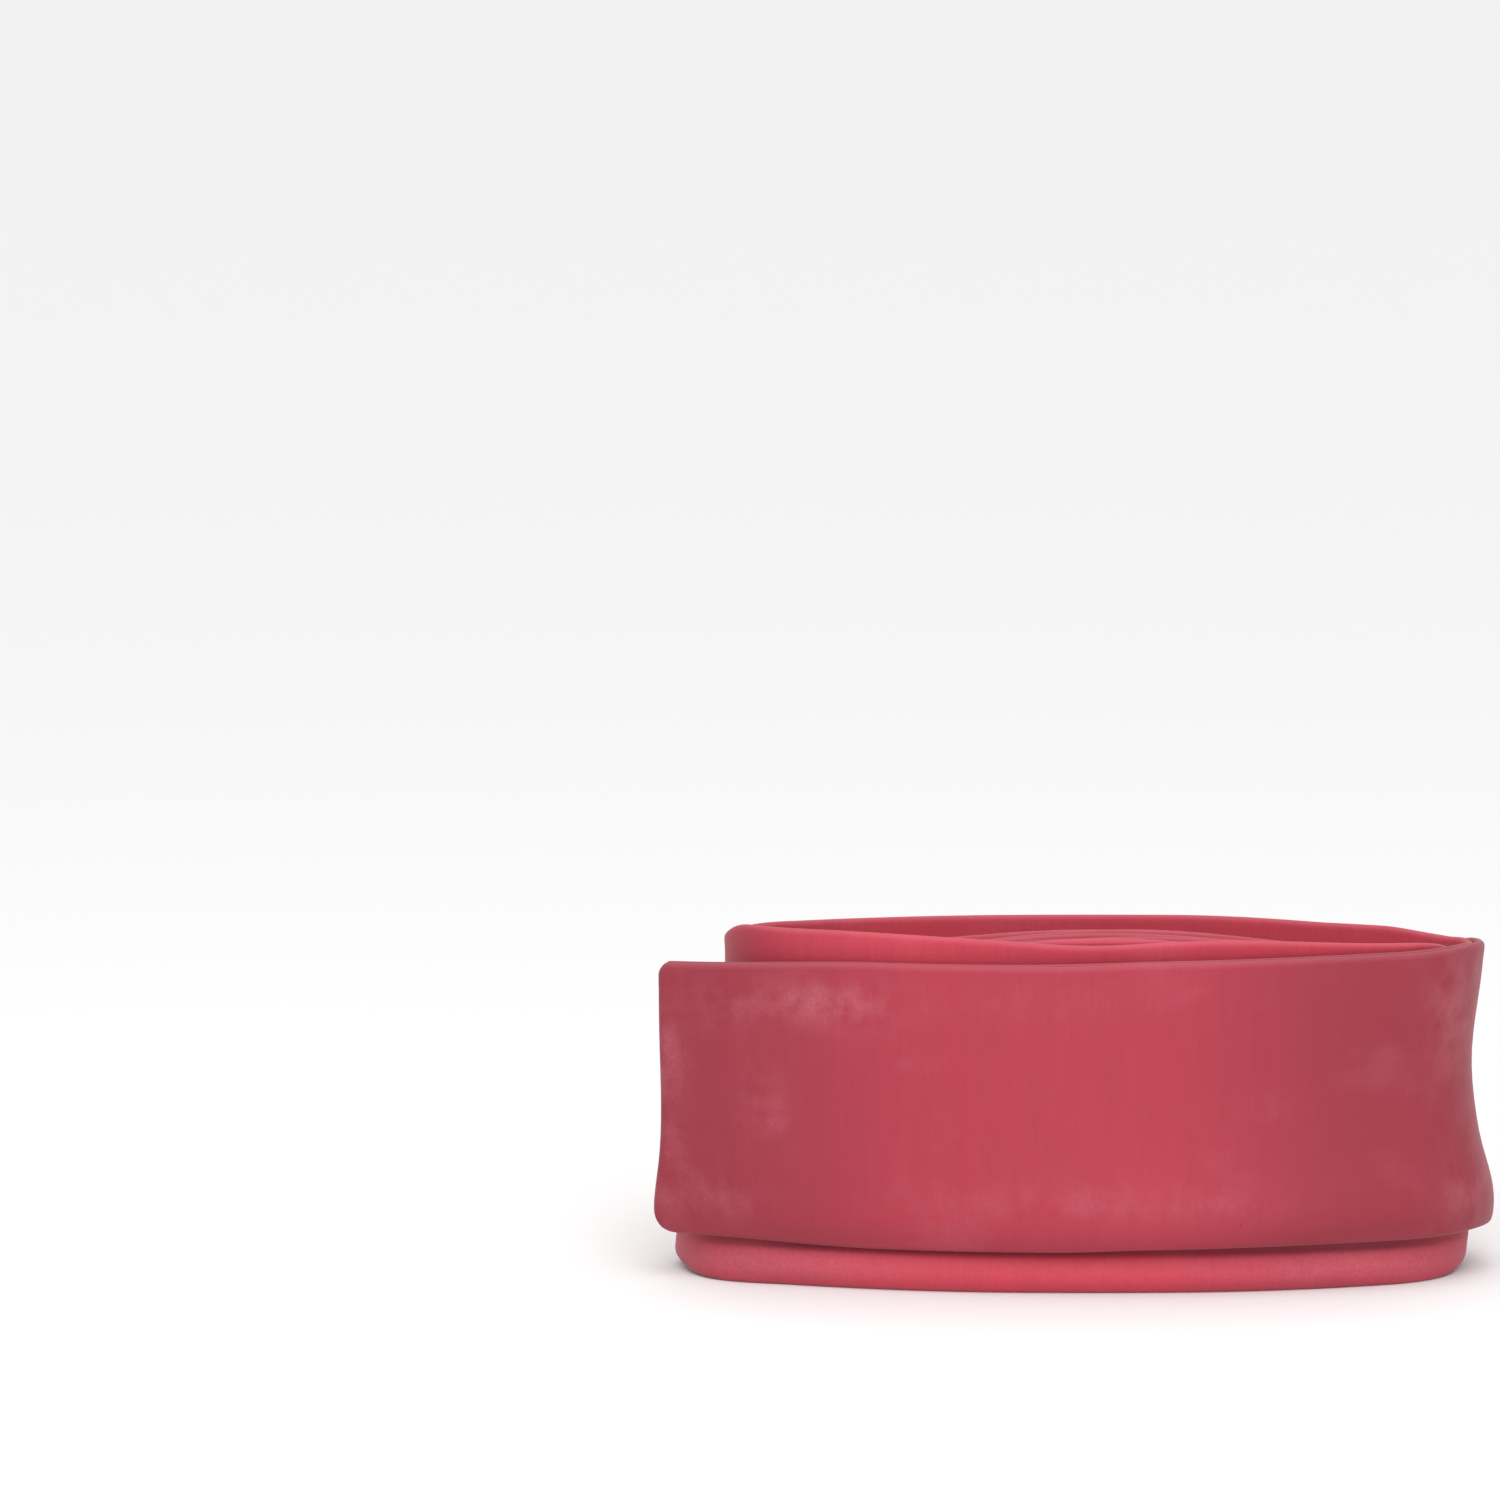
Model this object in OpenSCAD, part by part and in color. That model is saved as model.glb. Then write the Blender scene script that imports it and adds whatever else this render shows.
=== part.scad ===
// A bicycle inner tube, let down, pressed flat, folded in half and rolled up for storage.
// The doubled tube starts in the middle of the roll, where its fold holds the valve, and winds
// outwards to a second fold, which is the loose end on the front. +Z is up, the roll is long
// along X, and the valve lies along +X with its foot at the left end of the hollow.

/* [Tube] */
// Width of the tube pressed flat
flat_w = 34; // [30:0.5:38]
// Thickness of the tube pressed flat, which is two walls
flat_t = 1; // [0.9:0.02:1.02]
// Distance that the edges pull in at each bend
edge_pull = 1.2; // [0:0.1:2]
// Radius of the corners at the loose end
end_corner = 3; // [1:0.5:5]

/* [Roll] */
// Half the length of the hollow in the middle
hollow_a = 35; // [35:0.2:40]
// Half the width of the hollow in the middle
hollow_b = 4.9; // [4.9:0.1:6]
// Distance from one layer to the next at the ends of the roll
end_pitch = 1.22; // [1.22:0.01:1.5]
// Distance from one layer to the next in the middle of the long sides
side_pitch = 1.4; // [1.4:0.01:1.6]
// Radius of the long sides of the hollow
hollow_side_r = 1000; // [800:50:3000]
// Radius of the long sides of the outermost layer
outer_side_r = 160; // [160:10:400]
// Turns of the doubled tube round the hollow
turns = 4; // [3:1:5]
// Length of the loose end past the last bend
tail_l = 18; // [12:1:20]
// Radius that the loose end curves to
tail_r = 80; // [50:5:150]
// Distance that the slack outer layer stands off at the left bend
slack = 4.4; // [0:0.2:4.4]
// Drop of the slack layer, on which the roll stands
drop = 5.2; // [2:0.2:6]
// Rise of the inner layers above the loose end
inner_rise = 1.2; // [0:0.1:2]
// Rise of the layer behind the slack one
back_rise = 2.2; // [0:0.1:3]
// Rise of the outer layer at the right bend
right_rise = 1; // [0:0.1:2]

/* [Valve] */
// Length from the tube to the tip of the pin
valve_l = 48; // [48:1:50]
// Diameter of the stem
stem_d = 6; // [5.8:0.1:6.2]
// Diameter of the flared foot
foot_d = 7.2; // [7:0.1:7.2]
// Distance from the tube to the underside of the flared foot
foot_at = 6; // [6:0.1:6.4]
// Length of the removable core, from its seal to its nut
core_l = 24; // [24:0.5:26]
// Diameter of the core where the cap screws on
core_d = 5.2; // [5:0.05:5.2]
// Length of the cap
cap_l = 15.5; // [15:0.5:16]
// Largest diameter of the cap
cap_d = 8.2; // [7.6:0.1:8.2]
// Diameter of the pin
pin_d = 1.8; // [1.6:0.1:1.9]

/* [Hidden] */

latex = [0.72, 0.26, 0.31];
rubber = [0.10, 0.10, 0.11];
nickel = [0.74, 0.73, 0.70];
brass = [0.72, 0.58, 0.30];
plastic = [0.16, 0.16, 0.17];

// Clearances: between bonded pieces, and round what turns or slides.
bond_gap = 0.01;
run_gap = 0.05;

// An oval of four arcs, [end radius, distance from an end's centre to the middle, side radius,
// distance from a side's centre to the middle, half the angle of a side], from its half length
// and half width. Its support function is the distance from the middle to the tangent whose
// normal points at the angle a, and the slope of that is in the same units per radian.
function oval(a, b, side_r) =
    let (gap = (pow(side_r - b, 2) + pow(side_r - a, 2)) / (2 * (side_r - a)))
    [side_r - gap, a - side_r + gap, side_r, side_r - b, acos((side_r - b) / gap)];
function on_side(v, a) = abs(cos(a)) < sin(v[4]);
function support(v, a) = on_side(v, a) ? v[2] - v[3] * abs(sin(a)) : v[0] + v[1] * abs(cos(a));
function slope(v, a) = on_side(v, a) ? -v[3] * cos(a) * sign(sin(a))
                                     : -v[1] * sin(a) * sign(cos(a));

// The middle of the roll and its outermost layer are two such ovals, and the layers fill
// between them evenly in every direction. The hollow's wall is just outside the inner oval.
levels = 2 * turns + 2.5;
inmost_a = hollow_a + flat_t / 2 - end_pitch;
inmost_b = hollow_b + flat_t / 2 - side_pitch;
inmost = oval(inmost_a, inmost_b, hollow_side_r);
outmost = oval(inmost_a + levels * end_pitch, inmost_b + levels * side_pitch, outer_side_r);
function pitch(a) = (support(outmost, a) - support(inmost, a)) / levels;
function pitch_slope(a) = (slope(outmost, a) - slope(inmost, a)) / levels;

// Angle turned through after p half turns: p is whole at the ends and half-way on the sides.
// Each quarter has six rings on its bend, three where only the outer layers are still on their
// side, and two where all of them are.
quarter_rings = 11;
bend_rings = 6;
mid_rings = 9;
quarter_angles = [[0, 0], [bend_rings, 90 - outmost[4]], [mid_rings, 90 - inmost[4]],
                  [quarter_rings, 90]];
rings_per_half = 2 * quarter_rings;
function quarter_turn(f) = lookup(f * quarter_rings, quarter_angles);
function turned(p) = let (q = floor(2 * p), f = 2 * p - q)
    q % 2 == 0 ? 90 * q + quarter_turn(f) : 90 * (q + 1) - quarter_turn(1 - f);

// A point of the spiral after p half turns, on the given layer beside the middle of the doubled
// tube, and d further out. It winds clockwise from the right end, seen from above.
function spiral(p, layer, d = 0) =
    let (t = turned(p), level = t / 180 + layer + 1.5,
         h = support(inmost, t) + level * pitch(t) + d,
         k = slope(inmost, t) + level * pitch_slope(t) + pitch(t) / PI)
    [h * cos(t) - k * sin(t), -h * sin(t) - k * cos(t)];
function smooth(t) = let (c = min(1, max(0, t))) c * c * (3 - 2 * c);
function ramp(p, from, to) = smooth((p - from) / (to - from));

// The inner fold is on the front at the right end, and the loose end is past the last front side.
fold_p = (mid_rings - 1) / rings_per_half;
last_p = 2 * turns + 0.5;
side_end_p = last_p + (quarter_rings - bend_rings) / rings_per_half;

// The slack layer is the outer one round the last bend at the left end.
slack_p = 2 * turns - 1;
function slack_x(p) = abs(p - slack_p) < 0.5 ? slack * pow(cos(turned(p)), 2) : 0;
function outer_rise(p) = inner_rise - (drop + inner_rise) * ramp(p, slack_p - 1.8, slack_p - 1.1)
    + (drop + right_rise) * ramp(p, slack_p + 0.6, slack_p + 1)
    - right_rise * ramp(p, slack_p + 1, side_end_p);
function inside_rise(p) = inner_rise
    + (back_rise - inner_rise) * ramp(p, slack_p - 1.2, slack_p - 0.6)
    + (right_rise - back_rise) * ramp(p, slack_p + 0.1, slack_p + 0.9)
    - right_rise * ramp(p, slack_p + 1, side_end_p);

// A ring of the tube is [x, y, angle of the outward normal, middle height, half width].
base_z = drop + flat_w / 2;
function at_bend(p) = smooth(1 - abs(p - round(p)) * rings_per_half / bend_rings);
function edge(p) = flat_w / 2 - edge_pull * at_bend(p);
function spiral_ring(p, layer, shift, rise) =
    [spiral(p, layer)[0] - shift, spiral(p, layer)[1], -turned(p), base_z + rise, edge(p)];

// The loose end leaves the last side along an arc, s from its start, ending in a rounded fold.
function tail_turn(s) = s / tail_r * 180 / PI;
function tail_ring(s, d) = let (t = turned(side_end_p), start = spiral(side_end_p, 0),
                                c = start - tail_r * [cos(t), -sin(t)], a = t + tail_turn(s),
                                from_end = max(0, tail_l - s),
                                cut = from_end < end_corner
                                      ? end_corner - sqrt(pow(end_corner, 2)
                                                          - pow(end_corner - from_end, 2)) : 0)
    [c[0] + (tail_r + d) * cos(a), c[1] - (tail_r + d) * sin(a), -a, base_z, flat_w / 2 - cut];

// A fold turns the tube from one side of a middle ring to the other in a half circle.
fold_steps = 4;
function fold(ring, r, way) = [for (j = [1 : fold_steps - 1])
    let (a = ring[2] + way * 180 * j / fold_steps)
    [ring[0] + r * cos(a), ring[1] + r * sin(a), way < 0 ? a : a + 180, ring[3], ring[4]]];

outer_start = fold_p - 2;
tail_pitch = pitch(turned(side_end_p));
fold_pitch = pitch(turned(fold_p));
tail_steps = [0.25, 0.5, 0.75, 0.86, 0.93, 0.98];
function wind_out() = [for (k = [0 : round((side_end_p - outer_start) * rings_per_half)])
    let (p = outer_start + k / rings_per_half)
    spiral_ring(p, 0.5, slack_x(p), outer_rise(p))];
function tail_out() = [for (f = tail_steps) tail_ring(f * tail_l, tail_pitch / 2)];
function flip(r) = [r[0], r[1], r[2] + 180, r[3], r[4]];
function tail_in() = [for (j = [len(tail_steps) - 1 : -1 : 0])
    flip(tail_ring(tail_steps[j] * tail_l, -tail_pitch / 2))];
function wind_in() = [for (k = [0 : round((side_end_p - fold_p) * rings_per_half)])
    let (p = side_end_p - k / rings_per_half)
    flip(spiral_ring(p, -0.5, 0, inside_rise(p)))];
tail_end = tail_ring(tail_l, 0);
inner_end = spiral_ring(fold_p, -1, 0, inner_rise);
rings = concat(wind_out(), tail_out(), fold(tail_end, tail_pitch / 2, -1), tail_in(), wind_in(),
               fold(inner_end, fold_pitch / 2, 1));

// The model is moved so that its origin is under the middle of its box.
reach_x = [for (r = rings) flat_t / 2 * abs(cos(r[2]))];
reach_y = [for (r = rings) flat_t / 2 * abs(sin(r[2]))];
all_k = [0 : len(rings) - 1];
left_x = min([for (k = all_k) rings[k][0] - reach_x[k]]);
right_x = max([for (k = all_k) rings[k][0] + reach_x[k]]);
front_y = min([for (k = all_k) rings[k][1] - reach_y[k]]);
back_y = max([for (k = all_k) rings[k][1] + reach_y[k]]);
centre = [-(left_x + right_x) / 2, -(front_y + back_y) / 2, 0];

// Places along the valve, measured from the wall of the tube at the left end of the hollow.
valve_x = spiral(-1, 0.5, -flat_t / 2)[0];
valve_y = side_pitch / 2;
valve_z = base_z + inner_rise;
stem_top = valve_l - 13;
core_top = valve_l - 3.9;
core_tip = valve_l - core_l + 1.3;
seat_at = core_tip + 2.1;
gasket_l = 1.6;
thread_at = stem_top - 4.6;
cap_at = valve_l - 12;

// Radii of the stem's bore and of what moves in it.
bore_r = 1.75;
mid_bore_r = 1.95;
thread_r = 2.15;
pin_r = pin_d / 2;
guide_r = pin_r + run_gap;
core_r = core_d / 2;
groove_r = 1.35;

// Puts a piece that is drawn along +Z from the tube's wall on the axis of the valve.
module on_valve() {
    translate([valve_x + centre[0], valve_y + centre[1], valve_z]) rotate([0, 90, 0]) children();
}

// A hole along the valve's axis.
module hole(r, from, to) {
    translate([0, 0, from]) cylinder(h = to - from, r = r, $fn = 48);
}

// A turned solid from the points of its outline, each a radius and a height.
module lathe(outline) {
    n = len(outline) - 1;
    rotate_extrude($fn = 64) polygon(concat([[0, outline[0][1]]], outline, [[0, outline[n][1]]]));
}

// Ridges of a thread from z0 to z1, as the points of an outline.
function ridges(z0, z1, r, depth, pitch) = let (n = floor((z1 - z0) / pitch), s = (z1 - z0) / n)
    [for (k = [0 : n - 1]) each [[r - depth, z0 + (k + 0.1) * s], [r, z0 + (k + 0.4) * s],
                                 [r, z0 + (k + 0.6) * s], [r - depth, z0 + (k + 0.9) * s]]];

// Outline of the left end of the hollow, d inside the wall of the tube.
function hollow_end(d) = [for (k = [1 - quarter_rings : quarter_rings - 1])
    spiral(-1 + k / rings_per_half, 0.5, -flat_t / 2 - d)];

// The left end of the hollow as a solid h high that stops reach from the tube's wall.
module end_block(d, h, reach) {
    intersection() {
        translate([centre[0], centre[1], valve_z - h / 2]) linear_extrude(height = h)
            polygon(hollow_end(d));
        on_valve() translate([-h, -flat_w / 2, 0]) cube([2 * h, flat_w, reach]);
    }
}

// The tube is one closed band, swept round the rings with eight corners to a ring.
module latex_tube() {
    edge_in = 0.25;
    lip = 0.6;
    corners = [[-flat_t / 2, -lip], [-flat_t / 2 + edge_in, 0], [flat_t / 2 - edge_in, 0],
               [flat_t / 2, -lip]];
    function corner(r, c, up) = [r[0] + c[0] * cos(r[2]), r[1] + c[0] * sin(r[2]),
                                 r[3] + up * (r[4] + c[1])];
    n = len(rings);
    m = 2 * len(corners);
    points = [for (r = rings) each concat([for (c = corners) corner(r, c, 1)],
              [for (j = [len(corners) - 1 : -1 : 0]) corner(r, corners[j], -1)])];
    faces = [for (k = [0 : n - 1], j = [0 : m - 1])
             let (a = k * m + j, b = k * m + (j + 1) % m, c = (k + 1) % n * m + (j + 1) % m,
                  d = (k + 1) % n * m + j) each [[a, b, c], [a, c, d]]];
    color(latex) translate(centre) polyhedron(points, faces, convexity = 12);
}

// The patch lines the fold of the tube, with a hole for the air.
patch_t = 0.5;
patch_h = 22;
patch_reach = 14;
module valve_patch() {
    color(latex) difference() {
        end_block(bond_gap, patch_h, patch_reach);
        end_block(bond_gap + patch_t, patch_h + 1, patch_reach + 1);
        on_valve() hole(bore_r, 0, foot_at);
    }
}

// The rubber base fills the fold inside the patch and holds the stem by its flared foot.
base_h = 15;
base_reach = 9.6;
boot_top = 13.5;
foot_t = 1.2;
module valve_base() {
    boot_r = stem_d / 2 + 0.35;
    boot_foot_r = stem_d / 2 + 0.9;
    color(rubber) difference() {
        union() {
            intersection() {
                end_block(2 * bond_gap + patch_t, base_h, base_reach);
                on_valve() cylinder(h = base_reach, r = base_h / 2, $fn = 64);
            }
            on_valve() lathe([[boot_foot_r, base_reach - 1], [boot_foot_r, base_reach],
                              [boot_r + 0.1, boot_top - 0.6], [boot_r - 0.1, boot_top]]);
        }
        on_valve() hole(bore_r, 0, foot_at);
        on_valve() lathe([[foot_d / 2 + bond_gap, foot_at - bond_gap],
                          [foot_d / 2 + bond_gap, foot_at + foot_t + bond_gap]]);
        on_valve() hole(stem_d / 2 + bond_gap, foot_at, boot_top + 1);
    }
}

module valve_stem() {
    neck_l = 4;
    neck_r = 2.6;
    color(nickel) on_valve() difference() {
        lathe([[foot_d / 2 - 0.2, foot_at], [foot_d / 2, foot_at + 0.2],
               [foot_d / 2, foot_at + foot_t / 2], [stem_d / 2, foot_at + foot_t],
               [stem_d / 2, stem_top - neck_l - 0.4], [neck_r, stem_top - neck_l],
               [neck_r, stem_top - 0.2], [neck_r - 0.2, stem_top]]);
        hole(bore_r, foot_at - 1, stem_top + 1);
        hole(mid_bore_r, seat_at, stem_top + 1);
        hole(thread_r, thread_at, stem_top + 1);
    }
}

module core_body() {
    flats_l = 2.6;
    flat_gap = 4.3;
    collar_at = stem_top + bond_gap;
    flats_at = collar_at + 0.8;
    cap_thread_at = flats_at + flats_l + 0.4;
    guide_l = 2.2;
    lower = [[groove_r + 0.05, core_tip], [groove_r + 0.15, core_tip + 0.1],
             [groove_r + 0.15, seat_at], [groove_r, seat_at],
             [groove_r, seat_at + gasket_l], [mid_bore_r - 0.15, seat_at + gasket_l],
             [mid_bore_r - 0.15, thread_at]];
    upper = [[thread_r - 0.25, collar_at - 0.2], [thread_r - 0.25, collar_at],
             [core_r, collar_at], [core_r, cap_thread_at - 0.4]];
    top = [[core_r - 0.3, core_top - 0.2], [core_r - 0.5, core_top]];
    color(nickel) on_valve() difference() {
        lathe(concat(lower, ridges(thread_at, collar_at - 0.2, thread_r - run_gap, 0.15, 0.5), upper,
                     ridges(cap_thread_at, core_top - 0.4, core_r, 0.25, 1), top));
        for (side = [-1, 1])
            translate([side * (flat_gap + core_r) / 2, 0, flats_at + flats_l / 2])
                cube([core_r, 2 * core_r, flats_l], center = true);
        hole(groove_r - 0.25, core_tip - 1, core_top - guide_l);
        hole(guide_r, core_tip, core_top + 1);
    }
}

// The gasket sits in the core's groove and seals against the step in the stem's bore.
module core_gasket() {
    wide = mid_bore_r - run_gap;
    color(plastic) on_valve() difference() {
        lathe([[wide - 0.2, seat_at + bond_gap], [wide, seat_at + 0.6],
               [wide, seat_at + gasket_l - 0.2], [wide - 0.1, seat_at + gasket_l - bond_gap]]);
        hole(groove_r + bond_gap, seat_at - 1, seat_at + gasket_l + 1);
    }
}

// Under the core: the seal, the cup that holds it, and the peened end of the pin.
seal_r = 1.4;
seal_t = 0.9;
seal_at = core_tip - seal_t - 0.03;
cup_t = 0.5;
cup_at = seal_at - cup_t - bond_gap;
module plunger_pin() {
    head_at = cup_at - 0.4 - bond_gap;
    head_r = pin_r + 0.25;
    screw_at = core_top - 3;
    color(brass) on_valve() lathe(concat(
        [[head_r - 0.2, head_at], [head_r, head_at + 0.15], [head_r, cup_at - bond_gap],
         [pin_r, cup_at - bond_gap], [pin_r, screw_at]],
        ridges(screw_at, valve_l - 0.5, pin_r, 0.1, 0.4), [[pin_r, valve_l - 0.4],
         [pin_r - 0.05, valve_l - 0.15], [pin_r - 0.35, valve_l]]));
}

module plunger_seal() {
    color(rubber) on_valve() difference() {
        lathe([[seal_r - 0.1, seal_at], [seal_r, seal_at + 0.15], [seal_r, seal_at + seal_t - 0.15],
               [seal_r - 0.1, seal_at + seal_t]]);
        hole(pin_r + bond_gap, seal_at - 1, seal_at + seal_t + 1);
    }
}

module seal_cup() {
    cup_r = seal_r + 0.15;
    color(brass) on_valve() difference() {
        lathe([[cup_r - 0.2, cup_at], [cup_r, cup_at + 0.2], [cup_r, seal_at + seal_t / 2]]);
        hole(seal_r + bond_gap, cup_at + cup_t, seal_at + seal_t);
        hole(pin_r + bond_gap, cup_at - 1, seal_at + seal_t);
    }
}

// The nut turns on the pin's thread and rests on the top of the core.
nut_at = core_top + run_gap;
nut_l = 3.3;
nut_r = 1.85;
module lock_nut() {
    notches = 16;
    color(brass) on_valve() difference() {
        lathe([[nut_r - 0.45, nut_at], [nut_r - 0.45, nut_at + 0.5], [nut_r, nut_at + 0.75],
               [nut_r, nut_at + nut_l - 0.6], [nut_r - 0.25, nut_at + nut_l - 0.2],
               [nut_r - 0.6, nut_at + nut_l]]);
        hole(guide_r, nut_at - 1, nut_at + nut_l + 1);
        for (k = [0 : notches - 1]) rotate([0, 0, k * 360 / notches])
            translate([nut_r + 0.08, 0, nut_at + 0.5]) cylinder(h = nut_l, r = 0.2, $fn = 16);
    }
}

// The cap screws over the core; its skirt flares to a rim and is ribbed for the fingers.
module dust_cap() {
    rim_r = cap_d / 2;
    waist_r = rim_r - 0.9;
    skirt_l = 7;
    tip_r = waist_r - 0.1;
    dome_steps = 5;
    ribs = 24;
    dome = [for (k = [0 : dome_steps]) let (a = 85 * k / dome_steps)
            [tip_r * cos(a), cap_at + cap_l - tip_r + tip_r * sin(a) / sin(85)]];
    color(plastic) on_valve() difference() {
        lathe(concat([[rim_r - 0.2, cap_at], [rim_r, cap_at + 0.2], [rim_r, cap_at + 1],
                      [rim_r - 0.2, cap_at + 1.1], [waist_r, cap_at + skirt_l]], dome));
        hole(core_r + run_gap, cap_at - 1, valve_l + 0.8);
        for (k = [0 : ribs - 1]) rotate([0, 0, k * 360 / ribs])
            translate([rim_r, 0, cap_at + 1.2]) cylinder(h = skirt_l - 1.6, r = 0.3, $fn = 16);
    }
}

latex_tube();
valve_patch();
valve_base();
valve_stem();
core_body();
core_gasket();
plunger_pin();
plunger_seal();
seal_cup();
lock_nut();
dust_cap();
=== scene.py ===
import math

import bpy
import numpy as np
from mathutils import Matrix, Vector


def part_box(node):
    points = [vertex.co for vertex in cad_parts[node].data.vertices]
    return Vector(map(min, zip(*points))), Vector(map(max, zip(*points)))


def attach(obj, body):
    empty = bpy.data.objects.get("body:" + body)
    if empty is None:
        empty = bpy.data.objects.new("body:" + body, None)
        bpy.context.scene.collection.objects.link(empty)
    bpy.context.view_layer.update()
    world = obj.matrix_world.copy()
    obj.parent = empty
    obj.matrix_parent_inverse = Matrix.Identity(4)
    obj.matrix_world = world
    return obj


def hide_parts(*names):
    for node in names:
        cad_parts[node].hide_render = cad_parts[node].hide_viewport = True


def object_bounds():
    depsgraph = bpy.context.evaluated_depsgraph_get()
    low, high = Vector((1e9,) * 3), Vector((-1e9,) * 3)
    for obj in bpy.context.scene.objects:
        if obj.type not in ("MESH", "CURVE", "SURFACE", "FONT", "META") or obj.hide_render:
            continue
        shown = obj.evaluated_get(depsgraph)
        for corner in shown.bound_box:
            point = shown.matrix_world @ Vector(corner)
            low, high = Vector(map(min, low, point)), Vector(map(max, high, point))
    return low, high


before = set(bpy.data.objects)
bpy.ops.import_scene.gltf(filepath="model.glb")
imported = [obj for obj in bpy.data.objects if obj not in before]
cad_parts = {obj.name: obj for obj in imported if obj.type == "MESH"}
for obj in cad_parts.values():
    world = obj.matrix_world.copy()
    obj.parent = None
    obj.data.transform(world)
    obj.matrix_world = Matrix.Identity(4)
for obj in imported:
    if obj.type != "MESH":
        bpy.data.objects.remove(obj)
cad_low, cad_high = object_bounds()

# The roll's shape is worked out in millimetres and scaled by MM when its mesh is made.
MM = 0.001


# ---------------------------------------------------------------- camera

CAMERA_ELEVATION = math.radians(8.0)
CAMERA_DISTANCE = 0.865
CAMERA_LENS = 173.6
SENSOR_WIDTH = 36.0
# The lens axis passes to the left of the roll's middle and above it.
AXIS_LEFT = 38.75 * MM
AXIS_ABOVE = 45.2 * MM


def make_camera():
    """Looks along +Y and slightly down, at a distance from the roll's front."""
    data = bpy.data.cameras.new("camera")
    data.lens = CAMERA_LENS
    data.sensor_width = SENSOR_WIDTH
    data.clip_start, data.clip_end = 0.05, 50.0
    camera = bpy.data.objects.new("camera", data)
    bpy.context.scene.collection.objects.link(camera)
    ahead = Vector((0.0, math.cos(CAMERA_ELEVATION), -math.sin(CAMERA_ELEVATION)))
    right = Vector((1.0, 0.0, 0.0))
    up = right.cross(ahead)
    middle = (cad_low + cad_high) / 2
    near = Vector((middle.x, cad_low.y, middle.z))
    camera.location = near - right * AXIS_LEFT + up * AXIS_ABOVE - ahead * CAMERA_DISTANCE
    camera.rotation_mode = "QUATERNION"
    camera.rotation_quaternion = ahead.to_track_quat("-Z", "Y")
    bpy.context.scene.camera = camera


make_camera()


# ---------------------------------------------------------------- sizes of the roll

# The flat tube, two walls thick: its width, its thickness here, and that of the CAD model. The
# patch is bonded to it at BOND_GAP from its wall.
FLAT_W, FLAT_T, CAD_T = 34.0, 0.95, 1.0
BOND_GAP = 0.01

# The hollow, the pitch of the layers, and the radii of the long sides, as in the CAD model. The
# outermost layer is fuller here than the CAD model's.
HOLLOW_A, HOLLOW_B, HOLLOW_SIDE_R = 35.0, 4.9, 1000.0
END_PITCH, SIDE_PITCH = 1.22, 1.4
CAD_SIDE_R, OUTER_SIDE_R = 160.0, 125.0
TURNS = 4
LEVELS = 2 * TURNS + 2.5

# The slack layer's drop, on which the roll stands, the height of the loose end's middle, and how
# far the slack layer stands off at the left bend.
DROP = 5.2
BASE_Z = DROP + FLAT_W / 2
SLACK = 4.3

# Rises of the outer band at the right bend, and of the inner band in front, at its left and far
# behind.
RIGHT_RISE = 1.0
FRONT_RISE, LEFT_RISE, FAR_RISE = 3.4, 0.8, 1.6

# The loose end: radius of its arc, radius of its fold, and where it ends along X.
TAIL_R = 400.0
FOLD_R = (END_PITCH + FLAT_T) / 2
TAIL_END = -52.2

# Steps of a quarter turn in the CAD model, by which half turns are counted.
BEND_RINGS, MID_RINGS, QUARTER_RINGS = 6, 9, 11

# Half turns at the inner fold, at the middle of the last bend of the slack layer, at the middle
# of the last front side, and where the loose end starts.
FOLD_P = (MID_RINGS - 1) / (2 * QUARTER_RINGS)
SLACK_P = 2 * TURNS - 1
LAST_P = 2 * TURNS + 0.5
SIDE_END_P = LAST_P + (QUARTER_RINGS - BEND_RINGS) / (2 * QUARTER_RINGS)

# Distance between rings along the tube, closer at the loose end, and steps of the two folds.
RING_STEP, TIP_STEP, TIP_REACH = 1.1, 0.3, 3.0
END_FOLD_STEPS, INNER_FOLD_STEPS = 12, 8
SEARCH_STEPS = 40000


# ---------------------------------------------------------------- path of the tube

def bell(x, centre, width):
    return np.exp(-((x - centre) / width) ** 2)


def ramp(x, start, end):
    c = np.clip((x - start) / (end - start), 0.0, 1.0)
    return c * c * (3 - 2 * c)


def oval(a, b, side_r):
    """An oval of four arcs, from its half length, its half width and the radius of its sides."""
    gap = ((side_r - b) ** 2 + (side_r - a) ** 2) / (2 * (side_r - a))
    return {"end_r": side_r - gap, "end_at": a - side_r + gap, "side_r": side_r,
            "side_at": side_r - b, "half": math.acos((side_r - b) / gap)}


def on_side(v, a):
    return np.abs(np.cos(a)) < math.sin(v["half"])


def support(v, a):
    """Distance from the middle of the oval to the tangent whose normal points at the angle a."""
    return np.where(on_side(v, a), v["side_r"] - v["side_at"] * np.abs(np.sin(a)),
                    v["end_r"] + v["end_at"] * np.abs(np.cos(a)))


def slope(v, a):
    """How fast the support changes with the angle."""
    return np.where(on_side(v, a), -v["side_at"] * np.cos(a) * np.sign(np.sin(a)),
                    -v["end_at"] * np.sin(a) * np.sign(np.cos(a)))


INMOST_A = HOLLOW_A + CAD_T / 2 - END_PITCH
INMOST_B = HOLLOW_B + CAD_T / 2 - SIDE_PITCH
OUTMOST_A = INMOST_A + LEVELS * END_PITCH
OUTMOST_B = INMOST_B + LEVELS * SIDE_PITCH
INMOST = oval(INMOST_A, INMOST_B, HOLLOW_SIDE_R)
OUTMOST = oval(OUTMOST_A, OUTMOST_B, OUTER_SIDE_R)
CAD_OUTMOST = oval(OUTMOST_A, OUTMOST_B, CAD_SIDE_R)


def pitch(t):
    """Distance between neighbouring layers at the angle t."""
    return (support(OUTMOST, t) - support(INMOST, t)) / LEVELS


def level_at(t, layer):
    """Number of layers from the innermost oval, after the angle t."""
    return t / math.pi + layer + 1.5


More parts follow.
